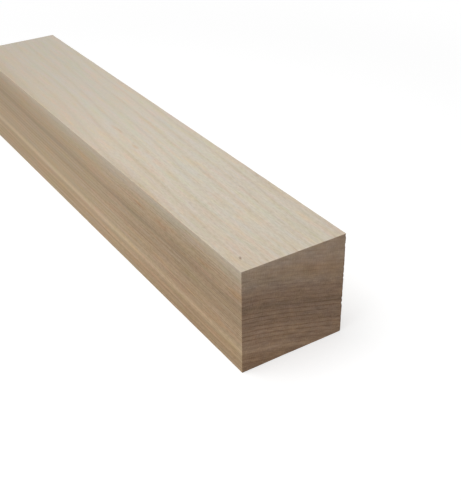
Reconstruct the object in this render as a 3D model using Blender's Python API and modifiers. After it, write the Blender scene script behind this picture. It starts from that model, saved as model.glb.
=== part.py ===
"""Wood turning blank: one squared length of pale hardwood, sawn to size for the lathe.

The blank lies on one of its long faces. Its length runs along X, its width along Y
and its thickness along Z, with the origin at the middle of the underside.
Every size is in metres.
"""

import math

import bmesh
import bpy
from mathutils import Matrix

# The squared stock, nominally 50 mm square and 300 mm long, as it measures when dry
BLANK_LENGTH = 0.300
BLANK_WIDTH = 0.0513
BLANK_THICKNESS = 0.0497

# The arrises, the sharp edges that the saw leaves, are just broken by hand
ARRIS_EASE = 0.0004
ARRIS_SEGMENTS = 2
ARRIS_LEAST_ANGLE = math.radians(30)

# Bare planed wood, with no oil or wax on it
WOOD_COLOUR = (0.50, 0.41, 0.31, 1.0)
WOOD_ROUGHNESS = 0.62
WOOD_METALLIC = 0.0


def clear_objects():
    """Take every object out of the scene."""
    for thing in list(bpy.data.objects):
        bpy.data.objects.remove(thing, do_unlink=True)


def make_collection(name):
    """A collection of the given name, linked into the scene."""
    collection = bpy.data.collections.new(name)
    bpy.context.scene.collection.children.link(collection)
    return collection


def bare_wood():
    """The plain material of the blank: matt, and the mean colour of its faces."""
    wood = bpy.data.materials.new("bare_wood")
    wood.use_nodes = True
    shader = wood.node_tree.nodes["Principled BSDF"]
    shader.inputs["Base Color"].default_value = WOOD_COLOUR
    shader.inputs["Roughness"].default_value = WOOD_ROUGHNESS
    shader.inputs["Metallic"].default_value = WOOD_METALLIC
    return wood


def squared_stock(name, length, width, thickness):
    """A box mesh of the sawn size, centred on its own origin."""
    mesh = bpy.data.meshes.new(name)
    solid = bmesh.new()
    sawn_size = Matrix.Diagonal((length, width, thickness, 1.0))
    bmesh.ops.create_cube(solid, size=1.0, matrix=sawn_size)
    solid.to_mesh(mesh)
    solid.free()
    return mesh


def ease_arrises(stock):
    """Break all twelve edges of the stock to a small round."""
    easing = stock.modifiers.new("eased_arrises", "BEVEL")
    easing.width = ARRIS_EASE
    easing.segments = ARRIS_SEGMENTS
    easing.limit_method = "ANGLE"
    easing.angle_limit = ARRIS_LEAST_ANGLE


def turning_blank(collection):
    """The whole blank, lying on its underside with the near end towards +X."""
    mesh = squared_stock("turning_blank", BLANK_LENGTH, BLANK_WIDTH, BLANK_THICKNESS)
    mesh.materials.append(bare_wood())
    blank = bpy.data.objects.new("turning_blank", mesh)
    blank.location.z = BLANK_THICKNESS / 2
    collection.objects.link(blank)
    ease_arrises(blank)
    return blank


clear_objects()
turning_blank(make_collection("wood_turning_blank"))
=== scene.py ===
"""A squared length of pale hardwood for the lathe, lying on a white table under soft studio light."""

import math

import bpy
import numpy as np
from mathutils import Euler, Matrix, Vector, noise


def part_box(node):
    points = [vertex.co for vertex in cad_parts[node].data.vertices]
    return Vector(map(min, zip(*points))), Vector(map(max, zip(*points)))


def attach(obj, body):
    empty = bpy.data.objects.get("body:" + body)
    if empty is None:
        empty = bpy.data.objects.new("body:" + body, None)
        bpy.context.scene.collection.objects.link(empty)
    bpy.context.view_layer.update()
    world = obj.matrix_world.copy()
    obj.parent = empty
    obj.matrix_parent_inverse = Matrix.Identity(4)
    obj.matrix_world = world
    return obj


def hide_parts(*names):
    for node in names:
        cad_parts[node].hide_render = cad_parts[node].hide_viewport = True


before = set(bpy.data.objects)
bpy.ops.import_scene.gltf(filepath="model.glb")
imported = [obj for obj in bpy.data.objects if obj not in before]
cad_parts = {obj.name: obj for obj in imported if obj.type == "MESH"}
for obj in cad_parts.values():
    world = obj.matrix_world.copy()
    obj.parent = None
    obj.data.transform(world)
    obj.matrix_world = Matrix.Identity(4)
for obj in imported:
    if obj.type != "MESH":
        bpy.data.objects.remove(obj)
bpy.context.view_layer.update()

# The blank: one length of air-dried hardwood, ripped and planed square on its long faces and cut
# to length with a cross-cut saw. Nothing is fixed to it and nothing is on it: it is bare wood, pale
# sapwood on top with bands of olive, tan and cream heartwood below. Its arrises are only just broken.

MM = 0.001
low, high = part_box("turning_blank")
middle = np.array((low + high) / 2)
half_size = np.array((high - low) / 2)
half_length, half_width, half_thickness = (float(side) for side in half_size)
top_height = float(high.z)

# Where the tree's heart lies, seen along the blank: low on the left, far outside the wood. It leans
# a little to one side, and the log tapers, so the rings run out through the faces as long bands.
HEART_Y = -106 * MM
HEART_Z = -371 * MM
HEART_LEAN = -0.0103
LOG_TAPER = 0.0135

# The rings wander from true circles in two slow waves: the length, width and start of each
WANDER = 0.13 * MM
WANDER_WAVES = ((97 * MM, 41 * MM, 0.0), (223.1 * MM, -69.7 * MM, 2.0))

# Rings to the metre in the youngest wood, and how fast they get fewer inwards: they are 1.7 mm apart
# under the bark and 2.3 mm at the pale line. The late wood of each stops short on its outer side.
RINGS_AT_BARK = 585.0
RINGS_LOST_INWARDS = 1390.0
LATE_WOOD_AT = 0.95
LATE_WOOD_LEANS = 0.6


def distance(*offsets):
    """How far off a point lies, from its offset along each axis."""
    return np.sqrt(sum(offset * offset for offset in offsets))


def ring_radius(x, y, z):
    """How far a point lies from the tree's heart, for a mesh's arrays or a material's sockets."""
    return distance(y - HEART_LEAN * x - HEART_Y, z - HEART_Z) + x * LOG_TAPER


YOUNGEST_RING = float(ring_radius(half_length, half_width, top_height))


def ring_depth(x, y, z):
    """How far under the youngest wood a point lies."""
    wander = sum(
        np.sin(x * (math.tau / length) + y * (math.tau / width) + start)
        for length, width, start in WANDER_WAVES
    )
    return wander * WANDER + (YOUNGEST_RING - ring_radius(x, y, z))


def late_wood(depth):
    """1 in the dense wood that ends each ring, thinning out inwards to 0."""
    rings = depth * (RINGS_AT_BARK - depth * RINGS_LOST_INWARDS)
    turn = (rings - LATE_WOOD_AT) * math.tau
    swell = np.cos(turn + np.cos(turn) * LATE_WOOD_LEANS) * 0.5 + 0.5
    thin = swell * swell
    return thin * thin


# The skin is a fine grid folded round the whole blank, with closer lines next to each arris
ARRIS_STEPS = (0.0, 0.12 * MM, 0.26 * MM, 0.44 * MM, 0.7 * MM, 1.1 * MM)
PITCH_ALONG = 1.75 * MM
PITCH_ACROSS = 0.56 * MM

# A pin knot near the front of the top face, cut at a slant into a small slim oval with a pit
KNOT_X = 141.2 * MM
KNOT_Y = -20.3 * MM
KNOT_TURN = math.radians(-27)
KNOT_LONG = 1.0 * MM
KNOT_SHORT = 0.44 * MM
KNOT_PIT = 0.15 * MM
PIT_REACH = 1.3

# Finer lines cross at the knot: how many, how far to each side, and how far off the next ones are
KNOT_LINES = 11
KNOT_LINES_REACH = 1.3 * KNOT_LONG
KNOT_LINES_CLEAR = 1.5 * KNOT_LONG


def grid_lines(half, pitch, knot=None):
    """Grid lines from one arris to the other: close at the arrises and the knot, even elsewhere."""
    inner = half - ARRIS_STEPS[-1]
    even = np.linspace(-inner, inner, round(2 * inner / pitch) + 1)[1:-1]
    if knot is not None:
        round_knot = knot + np.linspace(-KNOT_LINES_REACH, KNOT_LINES_REACH, KNOT_LINES)
        even = np.concatenate([even[abs(even - knot) > KNOT_LINES_CLEAR], round_knot])
    edge = half - np.array(ARRIS_STEPS)
    return np.sort(np.concatenate([-edge, even, edge]))


def folded_grid(lines):
    """The corners and four-sided faces of a closed box with these grid lines on its three axes."""
    counts = [len(line) for line in lines]
    faces, sides = [], []
    for axis in range(3):
        across, up = (axis + 1) % 3, (axis + 2) % 3
        step_across, step_up = np.meshgrid(
            np.arange(counts[across] - 1), np.arange(counts[up] - 1), indexing="ij"
        )
        for end in (0, counts[axis] - 1):
            turns = ((0, 0), (1, 0), (1, 1), (0, 1))
            if end == 0:
                turns = turns[::-1]
            corners = np.zeros((step_across.size, 4, 3), int)
            for corner, (more_across, more_up) in enumerate(turns):
                corners[:, corner, axis] = end
                corners[:, corner, across] = step_across.ravel() + more_across
                corners[:, corner, up] = step_up.ravel() + more_up
            faces.append(corners)
            sides += [(axis, end > 0)] * step_across.size
    places = np.concatenate(faces)
    numbers = places[..., 0] + counts[0] * (places[..., 1] + counts[1] * places[..., 2])
    used, quads = np.unique(numbers, return_inverse=True)
    quads = quads.reshape(-1, 4)
    points = np.stack(
        [
            lines[0][used % counts[0]],
            lines[1][used // counts[0] % counts[1]],
            lines[2][used // (counts[0] * counts[1])],
        ],
        1,
    )
    return points, quads, sides


def random_swell(points, span, least=-1.0, most=1.0):
    """Smooth random numbers from about least to most at the points, the same each time."""
    swell = np.array([noise.noise(point) for point in points / span])
    return (least + most) / 2 + (most - least) / 2 * swell


def smooth_step(values):
    """The values held between 0 and 1, with a smooth start and end."""
    held = np.clip(values, 0, 1)
    return held * held * (3 - 2 * held)


# How far back the arrises are worn, at least and at most, and over what length that changes
ARRIS_WEAR = (0.14 * MM, 0.46 * MM)
ARRIS_WEAR_LENGTH = 9 * MM

# Knocks on the top left arris: place along the blank, half length and depth
KNOCKS = (
    (102 * MM, 2.2 * MM, 0.8 * MM),
    (90.5 * MM, 1.2 * MM, 0.5 * MM),
    (74 * MM, 1.6 * MM, 0.45 * MM),
    (24 * MM, 2.4 * MM, 0.35 * MM),
    (-76 * MM, 2.6 * MM, 0.6 * MM),
)


def arris_wear(points):
    """How far back the arris is worn at each point: unevenly, and more where it was knocked."""
    wear = random_swell(points, ARRIS_WEAR_LENGTH, *ARRIS_WEAR)
    on_top_left = (points[:, 1] < 0) & (points[:, 2] > 0)
    for place, reach, depth in KNOCKS:
        wear += on_top_left * depth * np.exp(-(((points[:, 0] - place) / reach) ** 2))
    return wear


def eased(points, wear):
    """The box's grid with each arris rounded by its wear."""
    flat = half_size - wear[:, None]
    core = np.clip(points, -flat, flat)
    out = points - core
    return core + out / np.linalg.norm(out, axis=1)[:, None] * wear[:, None]


# Where the saw broke out through the far side of each end, the fibres are torn away in small notches,
# coarse and fine ones together, in clusters. The two ends are torn unlike each other.
TORN_STRIP = 0.88 * MM
TEAR_DEPTH = 0.3 * MM
TEAR_REACH = (0.26 * MM, 1.82 * MM)
TEAR_PITCH = 1.6 * MM
FINE_TEAR_PITCH = 0.61 * TEAR_PITCH
FINE_TEARS = 0.7
TEAR_CLUSTER = 3.7 * TEAR_PITCH
TEAR_CLUSTERED = (-0.25, 1.75)
TEAR_STEEPNESS = 1.8
DEEPEST_TEAR = 1.2
UNLIKE_ENDS = (0.31, 0.17, 0)
UNLIKE_REACH = (0.9, 0.4, 0)


def torn_arris(points):
    """How far in the fibres are torn from the right side, next to the two sawn ends."""
    from_end = half_length - abs(points[:, 0])
    up_arris = points * (0, 0, 1) + np.sign(points[:, :1]) * UNLIKE_ENDS
    notch = random_swell(up_arris, TEAR_PITCH) + FINE_TEARS * random_swell(up_arris, FINE_TEAR_PITCH)
    clustered = random_swell(up_arris, TEAR_CLUSTER, *TEAR_CLUSTERED)
    reach = random_swell(up_arris + UNLIKE_REACH, TEAR_PITCH, *TEAR_REACH)
    depth = TEAR_DEPTH * clustered * np.clip(notch * TEAR_STEEPNESS, 0, DEEPEST_TEAR)
    return depth * smooth_step(1 - from_end / reach)


def from_knot(x, y):
    """0 in the middle of the pin knot, and 1 at its rim."""
    along = (x - KNOT_X) * math.cos(KNOT_TURN) + (y - KNOT_Y) * math.sin(KNOT_TURN)
    across = (y - KNOT_Y) * math.cos(KNOT_TURN) - (x - KNOT_X) * math.sin(KNOT_TURN)
    return distance(along / KNOT_LONG, across / KNOT_SHORT)


# Relief of the faces, all of it cut inwards from the sawn size: shallow hollows in the long ones,
# raised grain on all, and on the ends proud rings and the swell of the saw, in arcs round its centre
HOLLOW = (0.0, 0.09 * MM)
HOLLOW_SPAN = 55 * MM
HOLLOW_START = (0.2, 0.1, 0.3)
RAISED_GRAIN = (0.0, 0.036 * MM)
GRAIN_SPAN = 2.5 * PITCH_ACROSS
GRAIN_DRAWN_OUT = (0.07, 1, 1)
PROUD_RINGS = 0.05 * MM
SAW_SWELL = 0.045 * MM
SAW_SWELL_PITCH = 5.3 * MM
SAW_CENTRE_Y = -190 * MM
SAW_CENTRE_Z = 60 * MM
FADE_AT_ARRIS = 1.2 * MM
ON_A_FACE = 1e-4 * MM


def saw_arcs(y, z, pitch, wobble=0.0):
    """0 to 1 and back for each pitch outwards from the centre of the saw that cut the ends."""
    from_saw = distance(y - SAW_CENTRE_Y, z - SAW_CENTRE_Z)
    return np.sin(from_saw * (math.tau / pitch) + wobble) * 0.5 + 0.5


def relieved(points, box_points):
    """The eased grid with the hollows, raised grain, saw swell, tears and knot pit cut into it."""
    x, y, z = (points + middle).T
    inside = half_size - abs(box_points)
    on_face = [inside[:, axis] < ON_A_FACE for axis in range(3)]
    fade = [smooth_step(np.delete(inside, axis, 1).min(1) / FADE_AT_ARRIS) for axis in range(3)]
    outwards = np.sign(box_points)
    hollow = random_swell(points + HOLLOW_START, HOLLOW_SPAN, *HOLLOW)
    grain = random_swell(points * GRAIN_DRAWN_OUT, GRAIN_SPAN, *RAISED_GRAIN)
    between_rings = PROUD_RINGS * (1 - late_wood(ring_depth(x, y, z)))
    planed = hollow + grain
    sawn = SAW_SWELL * saw_arcs(y, z, SAW_SWELL_PITCH) + grain + between_rings
    cut = points.copy()
    for axis, depth in enumerate((sawn, planed, planed)):
        cut[:, axis] -= outwards[:, axis] * on_face[axis] * fade[axis] * depth
    right = box_points[:, 1] > half_width - TORN_STRIP
    cut[:, 1] -= right * torn_arris(points)
    cut[:, 2] -= (box_points[:, 2] > 0) * KNOT_PIT * smooth_step(PIT_REACH - from_knot(x, y))
    return cut


grid = (
    grid_lines(half_length, PITCH_ALONG, KNOT_X),
    grid_lines(half_width, PITCH_ACROSS, KNOT_Y),
    grid_lines(half_thickness, PITCH_ACROSS),
)
box_points, quads, sides = folded_grid(grid)
skin = relieved(eased(box_points, arris_wear(box_points)), box_points) + middle

blank_mesh = bpy.data.meshes.new("turning_blank_skin")
blank_mesh.from_pydata(skin, [], quads)
blank_mesh.shade_smooth()
blank = bpy.data.objects.new("turning_blank_skin", blank_mesh)
bpy.context.scene.collection.objects.link(blank)

# The map that the wood's colours are drawn on: four long strips, with the two ends side by side
# above them, each as large as there is room for
MAP_EDGE = 0.005
STRIP_LONG = 0.99
STRIP_HIGH = 0.176
STRIP_STEP = 0.182
STRIPS = {(1, False): 0, (2, True): 1, (1, True): 2, (2, False): 3}
END_WIDE = 0.485
END_HIGH = 0.26
END_STEP = 0.5


def map_places():
    """Each face corner's place on the map, from its place on the square box."""
    at = box_points[quads] / (2 * half_size) + 0.5
    places = np.zeros((len(quads), 4, 2))
    side_of = np.array([axis * 2 + far for axis, far in sides])
    for (axis, far), row in STRIPS.items():
        here = side_of == axis * 2 + far
        places[here, :, 0] = MAP_EDGE + STRIP_LONG * at[here][..., 0]
        places[here, :, 1] = MAP_EDGE + STRIP_STEP * row + STRIP_HIGH * at[here][..., 3 - axis]
    for far in (False, True):
        here = side_of == far
        places[here, :, 0] = MAP_EDGE + END_STEP * far + END_WIDE * at[here][..., 2]
        places[here, :, 1] = MAP_EDGE + STRIP_STEP * len(STRIPS) + END_HIGH * at[here][..., 1]
    return places


bake_map = blank_mesh.uv_layers.new(name="OFBake")
bake_map.uv.foreach_set("vector", map_places().astype(np.float32).ravel())


class Socket:
    """A socket in a material. Arithmetic on it adds Math nodes, and node() adds any other kind."""

    MIXED_COLOUR = 2

    def __init__(self, tree, socket=None):
        self.tree = tree
        self.socket = socket

    def node(self, kind, settings, sockets, result=0):
        made = self.tree.nodes.new(kind)
        for name, value in settings.items():
            if name == "stops":
                ramp = made.color_ramp
                ramp.interpolation = "EASE"
                while len(ramp.elements) < len(value):
                    ramp.elements.new(1.0)
                for element, (place, colour) in zip(ramp.elements, value):
                    element.position = place
                    element.color = (*colour, 1)
            else:
                setattr(made, name, value)
        by_name = {socket.identifier: socket for socket in made.inputs}
        for name, value in sockets.items():
            socket = made.inputs[name] if isinstance(name, int) else by_name[name]
            if isinstance(value, Socket):
                self.tree.links.new(value.socket, socket)
            else:
                socket.default_value = value
        return Socket(self.tree, made.outputs[result])

    def output(self, name):
        """The named output of the node that this socket is on."""
        return Socket(self.tree, self.socket.node.outputs[name])

    def math(self, operation, *values):
        return self.node("ShaderNodeMath", {"operation": operation}, dict(enumerate(values)))

    def __add__(self, other):
        return self.math("ADD", self, other)

    def __radd__(self, other):
        return self.math("ADD", other, self)

    def __sub__(self, other):
        return self.math("SUBTRACT", self, other)

    def __rsub__(self, other):
        return self.math("SUBTRACT", other, self)

    def __mul__(self, other):
        return self.math("MULTIPLY", self, other)

    def __rmul__(self, other):
        return self.math("MULTIPLY", other, self)

    def __truediv__(self, other):
        return self.math("DIVIDE", self, other)

    def __abs__(self):
        return self.math("ABSOLUTE", self)

    def sqrt(self):
        return self.math("SQRT", self)

    def sin(self):
        return self.math("SINE", self)

    def cos(self):
        return self.math("COSINE", self)

    def larger(self, other):
        return self.math("MAXIMUM", self, other)

    def smaller(self, other):
        return self.math("MINIMUM", self, other)

    def from_to(self, start, full, least=0.0, most=1.0):
        """least up to start and most from full on, with a smooth step. full may be the lower."""
        return self.node(
            "ShaderNodeMapRange",
            {"interpolation_type": "SMOOTHSTEP"},
            {"Value": self, "From Min": start, "From Max": full, "To Min": least, "To Max": most},
        )

    def xyz(self):
        """The three parts of this vector."""
        parts = self.node("ShaderNodeSeparateXYZ", {}, {0: self})
        return [parts.output(axis) for axis in "XYZ"]

    def tinted(self, tint, share):
        """This colour multiplied by the tint, as far as share says."""
        return self.node(
            "ShaderNodeMix",
            {"data_type": "RGBA", "blend_type": "MULTIPLY"},
            {"Factor_Float": share, "A_Color": self, "B_Color": (*tint, 1)},
            self.MIXED_COLOUR,
        )

    def mixed(self, other, share):
        """This colour turned into the other, as far as share says."""
        return self.node(
            "ShaderNodeMix",
            {"data_type": "RGBA"},
            {"Factor_Float": share, "A_Color": self, "B_Color": other},
            self.MIXED_COLOUR,
        )


def cloud(point, size, detail, roughness):
    """Smooth random numbers from 0 to 1, which change about once over each of the three sizes."""
    turns = [place / span for place, span in zip(point, size)]
    vector = turns[0].node("ShaderNodeCombineXYZ", {}, dict(enumerate(turns)))
    return vector.node(
        "ShaderNodeTexNoise",
        {},
        {"Vector": vector, "Scale": 1.0, "Detail": detail, "Roughness": roughness},
    )


# From here on, a cloud is given as its sizes, how much detail it has and how rough that is, and a
# range as where it starts and where it is full, then its least and its most if not 0 and 1.

# How squarely a point has to face along the blank to be on an end, or up to be on the top
SQUARE_ON = (0.45, 0.85)

# The depth at which sapwood turns to heartwood, and the depth of a broad pale line inside
HEARTWOOD = (12 * MM, 24 * MM)
PALE_LINE_DEPTH = 51 * MM

# Some rings are strong and some are weak, in patches of this depth, length and width
RING_PATCH = ((5 * MM, 90 * MM, 25 * MM), 0.0, 0.5)
STRONG_RINGS = (0.25, 0.6, 0.25)

# The grain is bolder towards the near end, and plainer where it is cut across
BOLD_GRAIN = (-40 * MM, 110 * MM, 0.45, 1.3)
PLAINER_ON_ENDS = 0.6

# Fibres and mottle, with a length and a width: long along the blank, and narrow across it
COARSE_FIBRE = ((60 * MM, 1.2 * MM), 2.0, 0.5)
FINE_FIBRE = ((5 * MM, 0.26 * MM), 2.0, 0.5)
MOTTLE = ((2.6 * MM, 0.8 * MM), 2.0, 0.65)

# Pores cut along are thin scratches: some anywhere, more on the long faces, most where rings meet
SCRATCH = (0.50, 0.26)
SCRATCHES_ANYWHERE = 0.4
SCRATCHES_ON_LONG_FACES = 0.12
SCRATCHES_WHERE_RINGS_MEET = 0.48

# The saw left fine arcs on the ends, which wobble. Rays cross the rings there, and rows of pores run
# along them.
SAW_PITCH = 1.15 * MM
SAW_WOBBLE = ((7 * MM, 7 * MM, 9 * MM), 2.0, 0.5)
SAW_WOBBLES_BY = 9.0
RAY = ((0.45 * MM, 2.6 * MM, 2 * MM), 1.0, 0.6)
PORE_ROW = ((0.66 * MM, 5.5 * MM, 6 * MM), 1.0, 0.5)


class Wood:
    """What the wood is like at each point: its place, its facing, and where in the tree it grew."""

    def __init__(self, tree):
        point = Socket(tree).node("ShaderNodeTexCoord", {}, {})
        self.x, self.y, self.z = point.output("Object").xyz()
        facing_x, _, facing_z = point.output("Normal").xyz()
        self.on_end = abs(facing_x).from_to(*SQUARE_ON)
        self.on_top = facing_z.from_to(*SQUARE_ON)

        self.depth = ring_depth(self.x, self.y, self.z)
        self.radius = ring_radius(self.x, self.y, self.z)
        self.around = (self.y - HEART_Y) / (self.z - HEART_Z) * YOUNGEST_RING
        self.late = late_wood(self.depth)
        self.from_pale_line = abs(self.depth - PALE_LINE_DEPTH)
        ring_patch = cloud((self.depth, self.x, self.around), *RING_PATCH)
        self.uneven = ring_patch.from_to(*STRONG_RINGS)

        self.plain_on_ends = 1 - self.on_end * PLAINER_ON_ENDS
        self.boldness = self.x.from_to(*BOLD_GRAIN) * self.plain_on_ends
        self.coarse_fibre = self.streaks(*COARSE_FIBRE)
        self.fine_fibre = self.streaks(*FINE_FIBRE)
        self.mottle = self.streaks(*MOTTLE)
        scratches = self.late * SCRATCHES_WHERE_RINGS_MEET + SCRATCHES_ON_LONG_FACES
        scratches = scratches * (1 - self.on_end) + SCRATCHES_ANYWHERE
        self.scratch = self.fine_fibre.from_to(*SCRATCH) * scratches

        self.saw_wobble = cloud((self.y, self.z, self.x), *SAW_WOBBLE)
        self.saw_mark = saw_arcs(self.y, self.z, SAW_PITCH, self.saw_wobble * SAW_WOBBLES_BY)
        self.ray = cloud((self.around, self.radius, self.x), *RAY)
        self.pore_row = cloud((self.depth, self.around, self.x), *PORE_ROW)

    def streaks(self, size, detail, roughness):
        """A cloud drawn out along the blank, from its length and its width."""
        length, width = size
        return cloud((self.x, self.y, self.z), (length, width, width), detail, roughness)


# The wood's own colours, from the sapwood inwards
CREAM = (0.611, 0.529, 0.425)
PALE_CREAM = (0.617, 0.553, 0.456)
WARM_CREAM = (0.576, 0.482, 0.363)
BEIGE = (0.55, 0.437, 0.308)
PINKISH_TAN = (0.528, 0.395, 0.258)
TAN = (0.485, 0.362, 0.238)
OLIVE_TAN = (0.49, 0.37, 0.245)
OLIVE_BROWN = (0.47, 0.345, 0.221)
DARK_OLIVE = (0.41, 0.308, 0.2)
PALE_TAN = (0.667, 0.511, 0.336)
GOLDEN_TAN = (0.555, 0.405, 0.254)
BROWN = (0.497, 0.36, 0.223)

# How deep each band of colour lies, and its colour: cream sapwood, a dark olive line where the
# heartwood starts, and the broad pale line deep inside. Their edges are ragged.
BANDS_DEPTH = 64 * MM
BANDS = (
    (0 * MM, CREAM),
    (2.5 * MM, PALE_CREAM),
    (8 * MM, PALE_CREAM),
    (11.5 * MM, CREAM),
    (14.2 * MM, WARM_CREAM),
    (19.4 * MM, BEIGE),
    (24.6 * MM, PINKISH_TAN),
    (28 * MM, TAN),
    (30.7 * MM, DARK_OLIVE),
    (32.8 * MM, TAN),
    (35.5 * MM, OLIVE_TAN),
    (38.8 * MM, OLIVE_BROWN),
    (41.6 * MM, PINKISH_TAN),
    (48.3 * MM, PINKISH_TAN),
    (PALE_LINE_DEPTH, PALE_TAN),
    (53.6 * MM, BROWN),
    (55.6 * MM, GOLDEN_TAN),
    (57.4 * MM, BROWN),
    (BANDS_DEPTH, PINKISH_TAN),
)
RAGGED_BY = 0.9 * MM
LEVEL_SAPWOOD = (22 * MM, 14 * MM)


def banded(wood):
    """The bands of colour. The sapwood's don't follow a ring: they keep level with the top face."""
    ragged_depth = wood.depth + (wood.coarse_fibre - 0.5) * RAGGED_BY
    levelled_by = (half_length - wood.x) * LOG_TAPER * wood.depth.from_to(*LEVEL_SAPWOOD)
    along_bands = (ragged_depth - levelled_by) / BANDS_DEPTH
    stops = [(depth / BANDS_DEPTH, colour) for depth, colour in BANDS]
    return along_bands.node("ShaderNodeValToRGB", {"stops": stops}, {0: along_bands})


# The rings are thin tan lines in the sapwood, fainter at the far end. They hardly show where it turns
# to heartwood, and are boldest deep inside, apart from the broad pale line there.
EARLY_WOOD_TINT = (1.035, 1.04, 1.045)
LATE_WOOD_TINT = (0.90, 0.85, 0.775)
SAPWOOD_RINGS_START = (0 * MM, 3 * MM)
SAPWOOD_RINGS_STOP = (17 * MM, 12 * MM, 0.0, 0.38)
SAPWOOD_RINGS_ALONG = (-150 * MM, 60 * MM, 0.2)
HEARTWOOD_RINGS = (20 * MM, 36 * MM, 0.0, 0.95)
RINGS_BY_PALE_LINE = (2 * MM, 6 * MM, 0.2)
RINGS_ANYWHERE = 0.12


def ringed(colour, wood):
    """Each ring's early wood paler, and its late wood darker."""
    in_sapwood = wood.depth.from_to(*SAPWOOD_RINGS_START) * wood.depth.from_to(*SAPWOOD_RINGS_STOP)
    in_sapwood = in_sapwood * wood.x.from_to(*SAPWOOD_RINGS_ALONG)
    in_heartwood = wood.depth.from_to(*HEARTWOOD_RINGS)
    in_heartwood = in_heartwood * wood.from_pale_line.from_to(*RINGS_BY_PALE_LINE)
    strength = (in_sapwood + in_heartwood) * wood.uneven + RINGS_ANYWHERE
    colour = colour.tinted(EARLY_WOOD_TINT, (1 - wood.late) * strength)
    return colour.tinted(LATE_WOOD_TINT, wood.late * strength)


# At the near end the heartwood is darker and warmer, and at the far end painted shade makes the top
# and side duller
NEAR_END_TINT = (0.905, 0.865, 0.83)
NEAR_END = (30 * MM, 110 * MM)
FAR_TOP_PAINTED_SHADE = (0.92, 0.915, 0.92)
FAR_TOP_SHADED_ALONG = (60 * MM, -110 * MM)
FAR_TOP_SHADED_DEPTH = (3 * MM, 10 * MM, 0.35)
FAR_SIDE_PAINTED_SHADE = (0.895, 0.905, 0.9)
FAR_SIDE_SHADED_ALONG = (0 * MM, -130 * MM)
FAR_SIDE_SHADED_DEPTH = (17 * MM, 22 * MM)
FAR_SIDE_SHADE_LESS_DEEPER = (34 * MM, 26 * MM, 0.4)


def toned_and_shaded_along(colour, wood):
    """The change of tone from the near end to the far one: warmer heartwood near, painted shade far.
    """
    near_end = wood.x.from_to(*NEAR_END) * wood.depth.from_to(*HEARTWOOD)
    # Painted shade: the far end's top and side are darkened, as if further from the lamp
    far_top_shade = wood.x.from_to(*FAR_TOP_SHADED_ALONG) * wood.depth.from_to(*FAR_TOP_SHADED_DEPTH) * wood.on_top
    far_side_shade = wood.x.from_to(*FAR_SIDE_SHADED_ALONG) * wood.depth.from_to(*FAR_SIDE_SHADED_DEPTH)
    far_side_shade = far_side_shade * wood.depth.from_to(*FAR_SIDE_SHADE_LESS_DEEPER)
    colour = colour.tinted(NEAR_END_TINT, near_end)
    colour = colour.tinted(FAR_TOP_PAINTED_SHADE, far_top_shade)
    return colour.tinted(FAR_SIDE_PAINTED_SHADE, far_side_shade)


# Between the rings run many finer lines, darker and paler, and bolder in the heartwood
FINE_LINE = ((0.36 * MM, 40 * MM, 9 * MM), 2.0, 0.65)
FINE_LINES_DEPTH = (15 * MM, 21 * MM, 0.2)
FINE_LINES_BY_PALE_LINE = (2 * MM, 6 * MM, 0.44)
DARK_FIBRE = (0.84, 0.81, 0.76)
PALE_FIBRE = (1.08, 1.085, 1.09)
DARK_LINES = (0.52, 0.37)
PALE_LINES = (0.50, 0.65)


def fine_lined(colour, wood):
    """The fine lines between the rings."""
    line = cloud((wood.depth, wood.x, wood.around), *FINE_LINE)
    strength = wood.depth.from_to(*FINE_LINES_DEPTH) * wood.boldness
    strength = strength * wood.from_pale_line.from_to(*FINE_LINES_BY_PALE_LINE)
    colour = colour.tinted(DARK_FIBRE, line.from_to(*DARK_LINES) * strength)
    return colour.tinted(PALE_FIBRE, line.from_to(*PALE_LINES) * strength)


# Faint casts of colour drift along the blank, pink against green and yellow against grey. Each pair
# has its own cloud, and each cast a range of it.
PINK_CAST = (1.05, 0.98, 0.965)
GREEN_CAST = (0.965, 1.01, 0.985)
YELLOW_CAST = (1.01, 1.00, 0.92)
GREY_CAST = (0.99, 1.00, 1.06)
CASTS = (
    (((20 * MM, 3.4 * MM), 3.0, 0.7), ((PINK_CAST, (0.50, 0.68)), (GREEN_CAST, (0.50, 0.32)))),
    (((17 * MM, 2.4 * MM), 3.0, 0.6), ((YELLOW_CAST, (0.50, 0.70)), (GREY_CAST, (0.50, 0.30)))),
)


def cast_over(colour, wood):
    """The casts of pink, green, yellow and grey."""
    for drift, pair in CASTS:
        drifting = wood.streaks(*drift)
        for cast, shows in pair:
            colour = colour.tinted(cast, drifting.from_to(*shows) * wood.plain_on_ends)
    return colour


# Pores are brown in their scratches, and the fibres are mottled, more so in the heartwood
PORE_BROWN = (0.78, 0.70, 0.60)
PORES_SHOW = 0.6
MOTTLED_DEPTH = (*HEARTWOOD, 0.5, 0.95)
PALE_MOTTLE = (0.48, 0.70)
DARK_MOTTLE = (0.52, 0.30, 0.0, 0.7)


def pored(colour, wood):
    """The scratches of the pores, and the mottled fibres."""
    colour = colour.tinted(PORE_BROWN, wood.scratch * wood.boldness * PORES_SHOW)
    strength = wood.depth.from_to(*MOTTLED_DEPTH) * wood.boldness
    colour = colour.tinted(PALE_FIBRE, wood.mottle.from_to(*PALE_MOTTLE) * strength)
    return colour.tinted(DARK_FIBRE, wood.mottle.from_to(*DARK_MOTTLE) * strength)


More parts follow.
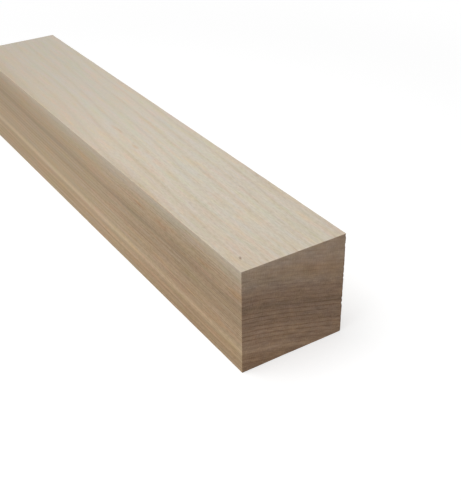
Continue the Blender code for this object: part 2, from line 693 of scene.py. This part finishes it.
# Stains, as a place, a reach along the grain and a reach across it: a row of rust marks in the left
# side, and two faint flecks on the top. Each is deepest in its middle and broken up by the grain.
STAINS = (
    (66 * MM, -half_width, 40.3 * MM, 6 * MM, 1.5 * MM),
    (86 * MM, -half_width, 39.4 * MM, 7 * MM, 2.4 * MM),
    (122 * MM, -half_width, 38.7 * MM, 8 * MM, 1.6 * MM),
    (146 * MM, -half_width, 36.8 * MM, 7 * MM, 2.0 * MM),
    (6 * MM, -5.8 * MM, top_height, 9 * MM, 1.2 * MM),
    (29 * MM, -7.5 * MM, top_height, 4 * MM, 1.5 * MM),
)
RUST = (0.95, 0.83, 0.72)
STAIN_RIM = 1.2
STAIN_MIDDLE = 0.1
STAIN_PATCH = ((7 * MM, 1.5 * MM), 2.0, 0.5)
STAINED_PATCHES = (0.35, 0.6, 0.4)


def stained(colour, wood):
    """The rust marks and flecks."""
    from_stain = STAIN_RIM
    for x, y, z, along, across in STAINS:
        from_this = distance((wood.x - x) / along, (wood.y - y) / across, (wood.z - z) / across)
        from_stain = from_this.smaller(from_stain)
    patches = wood.streaks(*STAIN_PATCH).from_to(*STAINED_PATCHES)
    return colour.tinted(RUST, from_stain.from_to(STAIN_RIM, STAIN_MIDDLE) * patches)


# End grain: the cut fibres drink the light, so both kinds of wood are darker there. Deep in, lower on
# the end, it is painted paler as painted bounce light. It is greyer towards the top left, and drifts a
# little between yellow and blue.
END_SAPWOOD = (0.655, 0.535, 0.467)
END_HEARTWOOD = (0.648, 0.604, 0.644)
END_HEARTWOOD_DEPTH = (15 * MM, 23 * MM)
END_PAINTED_BOUNCE = (1.12, 1.125, 1.12)
END_BOUNCE_DEPTH = (35 * MM, 44 * MM)
END_BOUNCE_ACROSS = (-half_width, 0 * MM, 0.5)
END_GREYED = (1.067, 1.163, 1.27)
END_GREYED_ACROSS = (14 * MM, -half_width)
END_GREYED_DEPTH = (30 * MM, 14 * MM)
END_PATCH = ((4 * MM, 9 * MM, 9 * MM), 2.0, 0.5)
END_YELLOW = (1.01, 1.005, 0.975)
END_BLUISH = (0.985, 1.00, 1.035)
YELLOW_PATCHES = (0.50, 0.65)
BLUISH_PATCHES = (0.50, 0.35)


def end_toned(colour, wood):
    """The tones of the end grain, with painted bounce light on its lower part, without its marks."""
    heartwood = wood.depth.from_to(*END_HEARTWOOD_DEPTH)
    colour = colour.tinted(END_SAPWOOD, 1 - heartwood)
    colour = colour.tinted(END_HEARTWOOD, heartwood)
    # Painted bounce light: the end is made paler deep in, towards its bottom
    painted_bounce = wood.depth.from_to(*END_BOUNCE_DEPTH) * wood.y.from_to(*END_BOUNCE_ACROSS)
    colour = colour.tinted(END_PAINTED_BOUNCE, painted_bounce)
    greyed = wood.y.from_to(*END_GREYED_ACROSS) * wood.depth.from_to(*END_GREYED_DEPTH)
    colour = colour.tinted(END_GREYED, greyed)
    patch = cloud((wood.depth, wood.around, wood.x), *END_PATCH)
    colour = colour.tinted(END_YELLOW, patch.from_to(*YELLOW_PATCHES))
    return colour.tinted(END_BLUISH, patch.from_to(*BLUISH_PATCHES))


# The marks of the end grain: dark late wood and saw arcs, and then pores, rays, rows and tufts, which
# have dark spots and pale ones. Their shades are how much those darken and how much they pale.
END_DARK = (0.72, 0.68, 0.64)
END_PALE = (1.14, 1.14, 1.13)
END_MARKS_DEPTH = (*HEARTWOOD, 0.5)
END_MARKS_DEEPER = (30 * MM, 45 * MM, 0.0, 0.1)
END_LATE_WOOD = 0.55
END_SAW_MARKS = (0.35, 0.6, 0.0, 0.3)
END_PORE = ((0.55 * MM, 0.75 * MM, 2 * MM), 1.0, 0.6)
TUFT = ((1.9 * MM, 6 * MM, 8 * MM), 1.0, 0.5)
DARK_SPOTS = (0.50, 0.34)
PALE_SPOTS = (0.50, 0.66)
PORE_SHADES = (0.25, 0.5)
RAY_SHADES = (0.25, 0.4)
ROW_SHADES = (0.3, 0.68)
TUFT_SHADES = (0.25, 0.55)


def end_grained(colour, wood):
    """The end grain on the two ends, and the colour as it is on the long faces."""
    strength = wood.depth.from_to(*END_MARKS_DEPTH) + wood.depth.from_to(*END_MARKS_DEEPER)
    end = end_toned(colour, wood)
    end = end.tinted(END_DARK, wood.late * strength * wood.uneven * END_LATE_WOOD)
    end = end.tinted(DARK_FIBRE, wood.saw_mark * wood.saw_wobble.from_to(*END_SAW_MARKS))
    pore = cloud((wood.radius, wood.around, wood.x), *END_PORE)
    tuft = cloud((wood.depth, wood.around, wood.x), *TUFT)
    for marks, marks_strength, (darkened, paled) in (
        (pore, strength, PORE_SHADES),
        (wood.ray, 1.0, RAY_SHADES),
        (wood.pore_row, strength, ROW_SHADES),
        (tuft, 1.0, TUFT_SHADES),
    ):
        end = end.tinted(END_DARK, marks.from_to(*DARK_SPOTS) * marks_strength * darkened)
        end = end.tinted(END_PALE, marks.from_to(*PALE_SPOTS) * marks_strength * paled)
    return colour.mixed(end, wood.on_end)


# The arrises are rubbed a little paler all round, partly wear and partly a painted highlight. At the
# right of each end the torn notches are brown, partly torn fibres and partly painted shade.
RUBBED_AND_HIGHLIT = (1.04, 1.035, 1.03)
RUBBED_HIGHLIGHT_STRIP = (0.9 * MM, 0.2 * MM)
RUBBED_HIGHLIGHT_PATCHES = (0.3, 0.6)
TORN_BROWN_AND_SHADE = (0.45, 0.32, 0.26)
NOTCH = ((0.8 * MM, 0.8 * MM, 0.8 * MM), 1.0, 0.5)
NOTCHES = (0.48, 0.62)
NOTCH_SHADE_STRIP = (1.1 * MM, 0.3 * MM, 0.0, 0.8)


def worn_arrises_and_painted_light(colour, wood):
    """The rubbed arrises with their painted highlight, and the brown notches with their painted shade.
    """
    from_ends = half_length - abs(wood.x)
    from_sides = half_width - abs(wood.y)
    from_flats = half_thickness - abs(wood.z - half_thickness)
    furthest = from_ends.larger(from_sides).larger(from_flats)
    from_arris = from_ends + from_sides + from_flats - furthest
    # Painted highlight with some real wear: the arrises a little paler all round
    rubbed_highlight = from_arris.from_to(*RUBBED_HIGHLIGHT_STRIP) * wood.mottle.from_to(*RUBBED_HIGHLIGHT_PATCHES)
    colour = colour.tinted(RUBBED_AND_HIGHLIT, rubbed_highlight)
    # Painted shade, with the torn fibres' own brown: the notches at the right of each end are darkened
    brown_and_shaded_notches = cloud((wood.z, wood.x, wood.y), *NOTCH).from_to(*NOTCHES)
    from_right_arris = from_ends + (half_width - wood.y)
    return colour.tinted(TORN_BROWN_AND_SHADE, from_right_arris.from_to(*NOTCH_SHADE_STRIP) * brown_and_shaded_notches)


# The pin knot has a dark core in a ring of paler wood, and goes a little way down from the top
KNOT_BROWN = (0.31, 0.225, 0.165, 1)
KNOT_GOES_DOWN = (top_height - 8 * MM, top_height - 2 * MM)
KNOT_RING = (4.0, 1.5, 0.0, 0.4)
KNOT_CORE = (1.8, 0.3, 0.0, 0.85)


def knotted(colour, wood):
    """The knot and the paler ring round it."""
    near_top = wood.z.from_to(*KNOT_GOES_DOWN)
    out_of_knot = from_knot(wood.x, wood.y)
    colour = colour.tinted(PALE_FIBRE, out_of_knot.from_to(*KNOT_RING) * near_top)
    return colour.mixed(KNOT_BROWN, out_of_knot.from_to(*KNOT_CORE) * near_top)


# Bare wood is matt, most of all in its fibres and on the ends, and a little less in the late wood
MATT = 0.60
MATTER_FIBRES = 0.12
SMOOTHER_LATE_WOOD = 0.05
MATTER_ENDS = 0.16
GLOSS = 0.35


def mattness(wood):
    """How matt the wood is."""
    fibres = MATT + wood.fine_fibre * MATTER_FIBRES - wood.late * SMOOTHER_LATE_WOOD
    return fibres + wood.on_end * MATTER_ENDS


# Relief too fine for the mesh: fibres and sunk pores on the long faces, and on the ends the marks of
# the saw, rays and rows of pores
FIBRE_RISE = 0.03 * MM
PORE_SINK = 0.02 * MM
SAW_MARK_RISE = 0.025 * MM
END_GRAIN_RISE = 0.03 * MM
RELIEF_SHOWS = 0.6


def fine_relief(wood):
    """The facing of the wood with its finest relief on it."""
    long_faces = (wood.fine_fibre + wood.coarse_fibre) * FIBRE_RISE - wood.scratch * PORE_SINK
    ends = wood.saw_mark * SAW_MARK_RISE + (wood.ray + wood.pore_row) * END_GRAIN_RISE
    relief = long_faces * (1 - wood.on_end) + ends * wood.on_end
    return relief.node(
        "ShaderNodeBump", {}, {"Height": relief, "Distance": 1.0, "Strength": RELIEF_SHOWS}
    )


# What is laid over the bands of colour, in this order
LAID_OVER = (
    ringed,
    toned_and_shaded_along,
    fine_lined,
    cast_over,
    pored,
    stained,
    end_grained,
    worn_arrises_and_painted_light,
    knotted,
)


def bare_hardwood():
    """The wood of the blank, worked out from each point's place in the tree."""
    material = bpy.data.materials.new("bare_hardwood")
    material.use_nodes = True
    tree = material.node_tree
    shader = tree.nodes["Principled BSDF"]
    wood = Wood(tree)
    colour = banded(wood)
    for laid_over in LAID_OVER:
        colour = laid_over(colour, wood)
    tree.links.new(colour.socket, shader.inputs["Base Color"])
    tree.links.new(mattness(wood).socket, shader.inputs["Roughness"])
    tree.links.new(fine_relief(wood).socket, shader.inputs["Normal"])
    shader.inputs["Specular IOR Level"].default_value = GLOSS
    return material


blank_mesh.materials.append(bare_hardwood())
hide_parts("turning_blank")
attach(blank, "root")

# The table: a sheet of white board, wide enough to fill the view, and white behind the blank. It is
# the true pale board for the light that bounces off it, and is seen, and mirrored, as plain white.

TABLE_SPREAD = 6.0
BOARD_PALE = (0.80, 0.80, 0.80, 1)
BOARD_SEEN = (0.58, 0.58, 0.58, 1)
SEEN_GLOW = 0.585
WHITE_FURTHER_OFF = (0.20, 0.42)


def seen_directly(start):
    """1 for rays from the camera, from mirrors and through glass, and 0 for those that carry light."""
    ray = start.node("ShaderNodeLightPath", {}, {})
    by_gloss = ray.output("Is Glossy Ray")
    by_glass = ray.output("Is Transmission Ray")
    return ray.output("Is Camera Ray").larger(by_gloss).larger(by_glass)


def white_board():
    """Matt white, which keeps the blank's shadow and is plain white further off."""
    board = bpy.data.materials.new("white_board")
    board.use_nodes = True
    tree = board.node_tree
    tree.nodes.remove(tree.nodes["Principled BSDF"])
    start = Socket(tree)
    x, y, _ = start.node("ShaderNodeTexCoord", {}, {}).output("Object").xyz()
    away = distance(x, y).from_to(*WHITE_FURTHER_OFF)
    pale = start.node("ShaderNodeBsdfDiffuse", {}, {"Color": BOARD_PALE})
    lit = start.node("ShaderNodeBsdfDiffuse", {}, {"Color": BOARD_SEEN})
    glow = start.node("ShaderNodeEmission", {}, {"Strength": SEEN_GLOW})
    white = start.node("ShaderNodeEmission", {}, {"Strength": 1.0})
    near = start.node("ShaderNodeAddShader", {}, {0: lit, 1: glow})
    shown = start.node("ShaderNodeMixShader", {}, {0: away, 1: near, 2: white})
    surface = start.node("ShaderNodeMixShader", {}, {0: seen_directly(start), 1: pale, 2: shown})
    tree.links.new(surface.socket, tree.nodes["Material Output"].inputs["Surface"])
    return board


table_mesh = bpy.data.meshes.new("table")
edge = TABLE_SPREAD / 2
table_corners = [(-edge, -edge, 0), (edge, -edge, 0), (edge, edge, 0), (-edge, edge, 0)]
table_mesh.from_pydata(table_corners, [], [(0, 1, 2, 3)])
table_mesh.materials.append(white_board())
table = bpy.data.objects.new("table", table_mesh)
bpy.context.scene.collection.objects.link(table)

# The lamps: one broad softbox close over the blank, nearer its front and left, which lights the top
# and grazes the left side, and an even white room round it all, so that no face is black.

ROOM_LIGHT = 0.42
SOFTBOX_PLACE = Vector((0.04, -0.18, 0.56))
SOFTBOX_AIM = Vector((0, 0, 0.03))
SOFTBOX_SIZE = 0.42
SOFTBOX_POWER = 2.0

room = bpy.data.worlds.new("white_room")
room.use_nodes = True
room_tree = room.node_tree
walls = room_tree.nodes["Background"]
walls.inputs["Color"].default_value = (1, 1, 1, 1)
wall_light = seen_directly(Socket(room_tree)) * (1.0 - ROOM_LIGHT) + ROOM_LIGHT
room_tree.links.new(wall_light.socket, walls.inputs["Strength"])
bpy.context.scene.world = room

softbox_light = bpy.data.lights.new("softbox", "AREA")
softbox_light.size = SOFTBOX_SIZE
softbox_light.energy = SOFTBOX_POWER
softbox = bpy.data.objects.new("softbox", softbox_light)
softbox.location = SOFTBOX_PLACE
softbox.rotation_euler = (SOFTBOX_AIM - SOFTBOX_PLACE).to_track_quat("-Z", "Y").to_euler()
bpy.context.scene.collection.objects.link(softbox)

# The camera: held close over the near end and turned along the blank, so that its far left corner
# runs out of the view.

CAMERA_PLACE = (0.38686, -0.17993, 0.23810)
CAMERA_HEADING = math.radians(147.728)
CAMERA_PITCH = math.radians(-32.234)
CAMERA_ROLL = math.radians(-0.935)
CAMERA_LENS = 64.19
CAMERA_SENSOR = 36.0
CAMERA_SEES_FROM = 10 * MM

camera_data = bpy.data.cameras.new("camera")
camera_data.sensor_width = CAMERA_SENSOR
camera_data.lens = CAMERA_LENS
camera_data.clip_start = CAMERA_SEES_FROM
camera = bpy.data.objects.new("camera", camera_data)
camera.location = CAMERA_PLACE
level = Euler((math.pi / 2 + CAMERA_PITCH, 0, CAMERA_HEADING - math.pi / 2)).to_quaternion()
camera.rotation_mode = "QUATERNION"
camera.rotation_quaternion = level @ Euler((0, 0, CAMERA_ROLL)).to_quaternion()
bpy.context.scene.collection.objects.link(camera)
bpy.context.scene.camera = camera
bpy.context.scene.view_settings.view_transform = "Standard"
